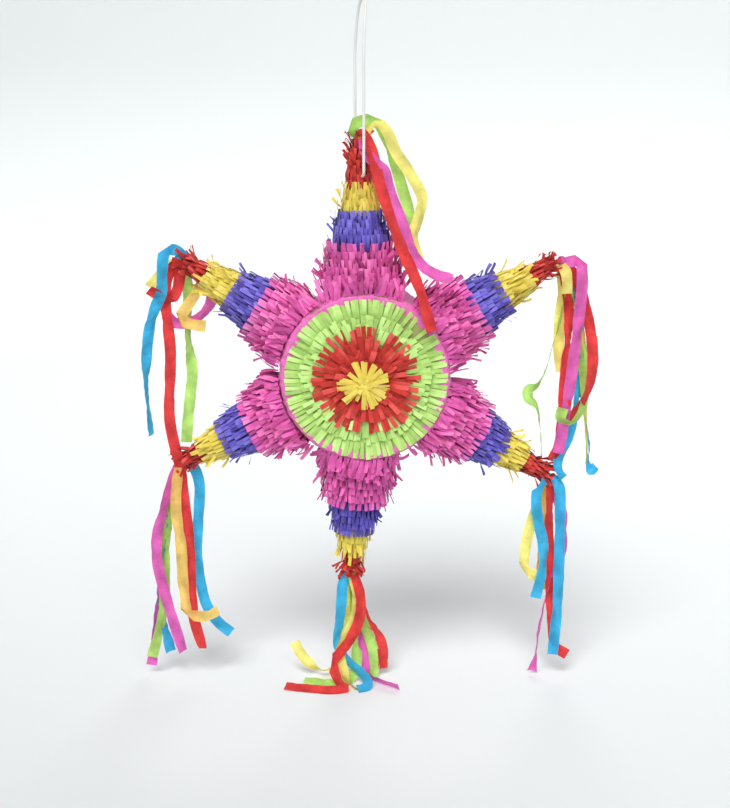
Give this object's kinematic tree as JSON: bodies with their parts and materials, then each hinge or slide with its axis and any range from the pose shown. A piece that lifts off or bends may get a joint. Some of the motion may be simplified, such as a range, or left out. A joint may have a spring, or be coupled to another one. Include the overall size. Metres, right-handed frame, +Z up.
{
  "type": "pinata",
  "caption": "Star pinata with a fringed round drum, fringed tissue-covered cone points, tissue streamers at every tip and a hanging cord loop.",
  "frame": {"origin": "inside top of the cord's hanging eye, where a hook or a line carries the pinata", "axes": "+Z up, the decorated face looks along -Y, +X to the right of somebody who looks at that face"},
  "size_m": [0.5526, 0.1385, 0.909],
  "materials": {
    "card": "matte",
    "tissue_pink": "matte",
    "tissue_purple": "matte",
    "tissue_yellow": "matte",
    "tissue_red": "matte",
    "tissue_green": "matte",
    "streamers_mixed": "matte",
    "cord_white": "matte"
  },
  "bodies": {
    "cord_loop": {"hanging_cord_loop": "cord_white"},
    "star": {"drum_wall": "card", "drum_tissue_cover": "tissue_pink", "front_disc": "card", "back_disc": "card", "back_tissue_cover": "tissue_pink", "front_fringe_green": "tissue_green", "front_fringe_red": "tissue_red", "front_rosette_yellow": "tissue_yellow", "point_cone_top": "card", "pink_fringe_top": "tissue_pink", "purple_fringe_top": "tissue_purple", "yellow_fringe_top": "tissue_yellow", "red_fringe_top": "tissue_red", "point_cone_upper_left": "card", "pink_fringe_upper_left": "tissue_pink", "purple_fringe_upper_left": "tissue_purple", "yellow_fringe_upper_left": "tissue_yellow", "red_fringe_upper_left": "tissue_red", "point_cone_lower_left": "card", "pink_fringe_lower_left": "tissue_pink", "purple_fringe_lower_left": "tissue_purple", "yellow_fringe_lower_left": "tissue_yellow", "red_fringe_lower_left": "tissue_red", "point_cone_bottom": "card", "pink_fringe_bottom": "tissue_pink", "purple_fringe_bottom": "tissue_purple", "yellow_fringe_bottom": "tissue_yellow", "red_fringe_bottom": "tissue_red", "point_cone_lower_right": "card", "pink_fringe_lower_right": "tissue_pink", "purple_fringe_lower_right": "tissue_purple", "yellow_fringe_lower_right": "tissue_yellow", "red_fringe_lower_right": "tissue_red", "point_cone_upper_right": "card", "pink_fringe_upper_right": "tissue_pink", "purple_fringe_upper_right": "tissue_purple", "yellow_fringe_upper_right": "tissue_yellow", "red_fringe_upper_right": "tissue_red", "streamers_top": "streamers_mixed"},
    "flap_leaf": {"fill_flap": "card", "fill_flap_tissue": "tissue_pink"},
    "hanging_streamers_upper_left": {"streamers_upper_left": "streamers_mixed"},
    "hanging_streamers_upper_right": {"streamers_upper_right": "streamers_mixed"},
    "hanging_streamers_lower_left": {"streamers_lower_left": "streamers_mixed"},
    "hanging_streamers_lower_right": {"streamers_lower_right": "streamers_mixed"},
    "hanging_streamers_bottom": {"streamers_bottom": "streamers_mixed"}
  },
  "joints": [
    {"name": "star_swing", "type": "hinge", "parent": "cord_loop", "child": "star", "pos_m": [-0.00678, 0, -0.24709], "axis": [0, 1, 0], "range_deg": [-20, 20]},
    {"name": "flap_fold", "type": "hinge", "parent": "star", "child": "flap_leaf", "pos_m": [0, 0.0515, -0.4605], "axis": [1, 0, 0], "range_deg": [0, 120]},
    {"name": "streamer_sway_upper_left", "type": "hinge", "parent": "star", "child": "hanging_streamers_upper_left", "pos_m": [-0.2326, 0, -0.34746], "axis": [0, 1, 0], "range_deg": [-4, 60]},
    {"name": "streamer_sway_upper_right", "type": "hinge", "parent": "star", "child": "hanging_streamers_upper_right", "pos_m": [0.24231, 0, -0.3501], "axis": [0, 1, 0], "range_deg": [-60, 4]},
    {"name": "streamer_sway_lower_left", "type": "hinge", "parent": "star", "child": "hanging_streamers_lower_left", "pos_m": [-0.24128, 0, -0.61294], "axis": [0, 1, 0], "range_deg": [-25, 60]},
    {"name": "streamer_sway_lower_right", "type": "hinge", "parent": "star", "child": "hanging_streamers_lower_right", "pos_m": [0.24195, 0, -0.63252], "axis": [0, 1, 0], "range_deg": [-60, 25]},
    {"name": "streamer_sway_bottom", "type": "hinge", "parent": "star", "child": "hanging_streamers_bottom", "pos_m": [-0.01917, 0, -0.76413], "axis": [0, 1, 0], "range_deg": [-8, 8]}
  ]
}
